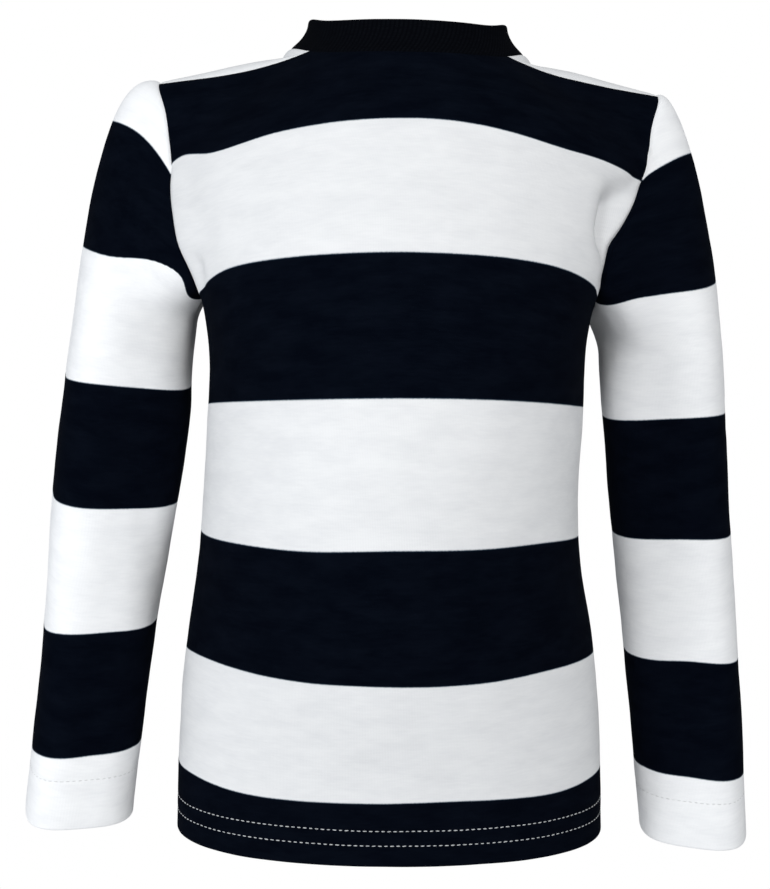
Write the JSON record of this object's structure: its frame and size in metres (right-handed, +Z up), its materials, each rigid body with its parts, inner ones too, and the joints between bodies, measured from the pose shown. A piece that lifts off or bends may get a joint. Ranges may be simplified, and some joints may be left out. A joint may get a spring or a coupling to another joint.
{
  "type": "long-sleeved t-shirt",
  "caption": "Child's long-sleeved striped jersey t-shirt with a crew neckband, hollow and filled out as worn, arms hanging at the sides.",
  "frame": {"origin": "in the neck opening between the shoulders, where the wearer's shoulders carry the shirt", "axes": "+X to the wearer's right, +Y the way the wearer faces, +Z up"},
  "size_m": [0.3859, 0.1971, 0.4279],
  "materials": {
    "back_panel_cloth": "matte knitted cotton jersey",
    "front_panel_cloth": "matte knitted cotton jersey",
    "left_sleeve_cloth": "matte knitted cotton jersey",
    "right_sleeve_cloth": "matte knitted cotton jersey",
    "neckband_cloth": "matte knitted rib"
  },
  "bodies": {
    "root": {"back_panel": "back_panel_cloth", "front_panel": "front_panel_cloth", "left_sleeve": "left_sleeve_cloth", "right_sleeve": "right_sleeve_cloth", "neckband": "neckband_cloth"}
  },
  "joints": []
}
